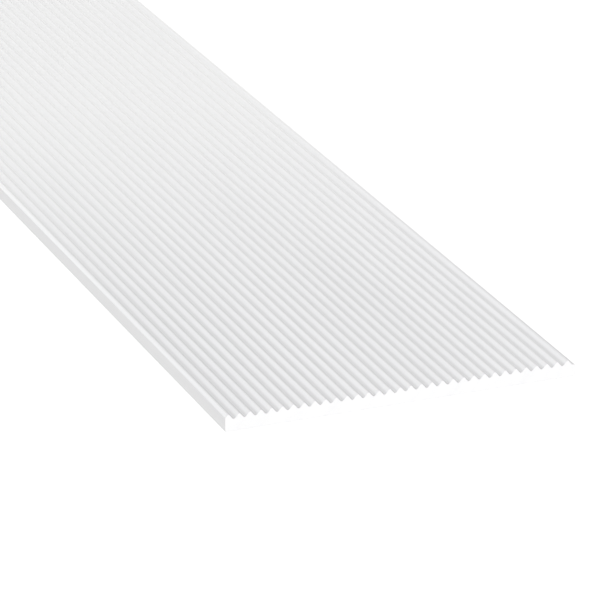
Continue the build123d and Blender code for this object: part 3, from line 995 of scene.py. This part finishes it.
def makeMountingPad(side):
    node = "mounting_pad_" + side.lower()
    low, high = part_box(node)
    layers = squeezedEdge(padSet["bulge"] * mm, padSet["rounding"] * mm)
    mesh = layeredSheet("mountingPad" + side, low, high, padSet["corner"] * mm, layers)
    mesh.materials.append(rubber)
    linkPiece("mountingPad" + side, smoothed(mesh, sharpDegrees=60), boardBody, [node])


makeWearPlate()
makeWearPlateScrews()
makeMountingPad("Left")
makeMountingPad("Right")
print("wear plate and pads laid")


# Hinges: castings with softened edges, turned pins, bushings, washers and bent split pins

hingeSet = {
    "castEdge": 0.9,
    "castAngles": (0.5, 35),  # degrees: less than the first is one flat face, more than the second an edge
    "pin": 20.0,
    "pinHeadDiameter": 32.0,
    "pinHeadThickness": 6.0,
    "pinChamfer": 1.5,
    "pinTail": 6.0,
    "pinBends": (0.4, 0.3),
    "crossHole": 5.0,
    "crossHoleReach": 20.0,
    "centreMark": 3.0,
    "washerBore": 20.6,
    "washerEdge": 0.6,
    "bushingBore": 20.1,
    "bushingDiameter": 26.1,
    "flangeThickness": 3.0,
}


def softenedCasting(node, name, body):
    shape = cadShape(node)
    flat, sharp = [radians(degrees) for degrees in hingeSet["castAngles"]]
    bmesh.ops.dissolve_limit(shape, angle_limit=flat, verts=shape.verts, edges=shape.edges)
    edge = {"width": hingeSet["castEdge"] * mm, "segments": 3, "angle_limit": sharp}
    edge["limit_method"] = "ANGLE"
    mesh = applied(kept(shape, name), ("BEVEL", edge))
    mesh.materials.clear()
    mesh.materials.append(cast)
    linkPiece(name, smoothed(mesh, sharpDegrees=40), body, [node])


def outward(box):
    # the turn that points a part's axis away from the board's middle, and which end it starts from
    low, high = box
    return (-pi / 2, low.y) if low.y + high.y > 0 else (pi / 2, high.y)


def makeHingePins():
    look = hingeSet
    low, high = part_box("hinge_pin_left")
    length = (high.y - low.y) / mm
    pin, head, cut = look["pin"] / 2, look["pinHeadDiameter"] / 2, look["pinChamfer"]
    seat = length - look["pinHeadThickness"]
    mark = look["centreMark"]
    under, rim = look["pinBends"]
    outline = [(0, 0, 0), (pin - cut, 0, 0), (pin, cut, 0), (pin, seat, 0), (head, seat, under)]
    outline += [(head, length - cut, rim), (head - cut, length, rim)]
    outline += [(mark, length, 0), (0, length - mark / 2, 0)]
    places, holes = [], []
    for node in ("hinge_pin_left", "hinge_pin_right"):
        low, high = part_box(node)
        turn, tail = outward((low, high))
        height = (low.z + high.z) / 2
        inward = look["pinTail"] * mm * (1 if turn < 0 else -1)
        places.append(((0, tail, height), (turn, 0, 0)))
        holes.append(((0, tail + inward, height - look["crossHoleReach"] * mm), (0, 0, 0)))
    width, drilled = look["crossHole"] / 2, 2 * look["crossHoleReach"]
    bore = [(0, 0, 0), (width, 0, 0), (width, drilled, 0), (0, drilled, 0)]
    mesh = turnedPieces("hingePins", outline, places, stainless, closed=False, facets=64)
    mesh = carved(mesh, turnedPieces("crossHoles", bore, holes, stainless, closed=False, facets=24))
    nodes = ["hinge_pin_left", "hinge_pin_right"]
    linkPiece("hingePins", smoothed(mesh), baseBody, nodes)


def makePinWashers():
    places = []
    for low, high in solidBoxes("pin_washers"):
        places.append((((low.x + high.x) / 2, low.y, (low.z + high.z) / 2), (-pi / 2, 0, 0)))
    size = sizeOf("pin_washers")
    outline = washerOutline(hingeSet["washerBore"], size.x, size.y, hingeSet["washerEdge"])
    mesh = turnedPieces("pinWashers", outline, places, stainless)
    linkPiece("pinWashers", mesh, baseBody, ["pin_washers"])


def makeBushings():
    look = hingeSet
    places = []
    for node in ("bushings_left", "bushings_right"):
        inner, outer = solidBoxes(node)
        for (low, high), turn, foot in ((inner, pi / 2, inner[1].y), (outer, -pi / 2, outer[0].y)):
            places.append((((low.x + high.x) / 2, foot, (low.z + high.z) / 2), (turn, 0, 0)))
    size = sizeOf("bushings_left")
    bore, tube, flange = look["bushingBore"] / 2, look["bushingDiameter"] / 2, size.x / 2
    shoulder = size.y - look["flangeThickness"]
    outline = [(bore, 0, 0.3), (tube, 0, 0.5), (tube, shoulder, 0), (flange, shoulder, 0.4)]
    outline += [(flange, size.y, 0.4), (bore, size.y, 0.5)]
    mesh = turnedPieces("bushings", outline, places, bronze, facets=64)
    linkPiece("bushings", mesh, boardBody, ["bushings_left", "bushings_right"])


def makeSplitPins():
    mesh = kept(cadShape("split_pins"), "splitPins")
    mesh.materials.append(stainless)
    linkPiece("splitPins", smoothed(mesh, sharpDegrees=45), baseBody, ["split_pins"])


for side in ("Left", "Right"):
    softenedCasting("hinge_base_" + side.lower(), "hingeBase" + side, baseBody)
    softenedCasting("hinge_leaf_" + side.lower(), "hingeLeaf" + side, boardBody)
makeHingePins()
makePinWashers()
makeBushings()
makeSplitPins()
print("hinges built")


# Stage: a wide pale floor well below the board, soft even light and the camera

studio = {
    "floorColour": "#F7F7F7",
    "floorGlow": 0.32,
    "floorDrop": 1.0,
    "floorHalf": 300.0,
    "horizonGlow": 0.27,
    "horizonHeights": (0.08, 0.25),
    "skyLow": 0.92,
    "skyHigh": 0.775,
    "skyHeights": (0.25, 0.8),
    "keyStrength": 0.12,
    "keySoftness": 40.0,
    "keyTurn": (48.0, 0.0, -60.0),
    "cameraOffset": (4.755, -1.820, 2.229),
    "azimuth": 67.96,
    "elevation": 21.89,
    "lens": 257.7,
}


def layFloor():
    # a light table: its faint glow keeps the shade of the board off it
    half = studio["floorHalf"]
    height = cadLow.z - studio["floorDrop"]
    corners = [(-half, -half, height), (half, -half, height), (half, half, height), (-half, half, height)]
    mesh = bpy.data.meshes.new("studioFloor")
    mesh.from_pydata(corners, [], [(0, 1, 2, 3)])
    material = bpy.data.materials.new("paintedFloor")
    material.use_nodes = True
    shader = material.node_tree.nodes["Principled BSDF"]
    shader.inputs["Base Color"].default_value = toLinear(studio["floorColour"])
    shader.inputs["Roughness"].default_value = 0.9
    shader.inputs["Specular IOR Level"].default_value = 0.1
    shader.inputs["Emission Color"].default_value = toLinear("#FFFFFF")
    shader.inputs["Emission Strength"].default_value = studio["floorGlow"]
    mesh.materials.append(material)
    floor = bpy.data.objects.new("studioFloor", mesh)
    bpy.context.scene.collection.objects.link(floor)


def lightStudio():
    # an even white tent, a little brighter near the horizon, and one very soft key from behind on the left
    world = bpy.data.worlds.new("whiteTent")
    world.use_nodes = True
    bpy.context.scene.world = world
    tree = world.node_tree
    direction = addNode(tree, "ShaderNodeTexCoord").outputs["Generated"]
    height = addNode(tree, "ShaderNodeSeparateXYZ", {0: direction}).outputs["Z"]
    lowest, highest = studio["skyHeights"]
    fade = {"Value": height, "From Min": lowest, "From Max": highest}
    fade.update({"To Min": studio["skyLow"], "To Max": studio["skyHigh"]})
    fade = addNode(tree, "ShaderNodeMapRange", fade)
    lowest, highest = studio["horizonHeights"]
    glow = {"Value": height, "From Min": lowest, "From Max": highest}
    glow.update({"To Min": studio["horizonGlow"], "To Max": 0.0})
    glow = addNode(tree, "ShaderNodeMapRange", glow)
    strength = addNode(tree, "ShaderNodeMath", {0: fade, 1: glow}, operation="ADD")
    background = tree.nodes["Background"]
    background.inputs["Color"].default_value = toLinear("#FFFFFF")
    feed(tree, strength, background.inputs["Strength"])
    lamp = bpy.data.lights.new("softKey", "SUN")
    lamp.energy = studio["keyStrength"]
    lamp.angle = radians(studio["keySoftness"])
    key = bpy.data.objects.new("softKey", lamp)
    key.rotation_euler = [radians(turn) for turn in studio["keyTurn"]]
    bpy.context.scene.collection.objects.link(key)


def placeCamera():
    low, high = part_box("plank")
    nearCorner = Vector((high.x, low.y, low.z))
    azimuth, elevation = radians(studio["azimuth"]), radians(studio["elevation"])
    back = Vector((sin(azimuth) * cos(elevation), -cos(azimuth) * cos(elevation), sin(elevation)))
    view = bpy.data.cameras.new("productView")
    view.lens = studio["lens"]
    view.clip_end = 1000
    camera = bpy.data.objects.new("productView", view)
    camera.location = nearCorner + Vector(studio["cameraOffset"])
    camera.rotation_mode = "QUATERNION"
    camera.rotation_quaternion = back.to_track_quat("Z", "Y")
    bpy.context.scene.collection.objects.link(camera)
    bpy.context.scene.camera = camera


layFloor()
lightStudio()
placeCamera()
bpy.context.scene.view_settings.view_transform = "Standard"
print("stage set")
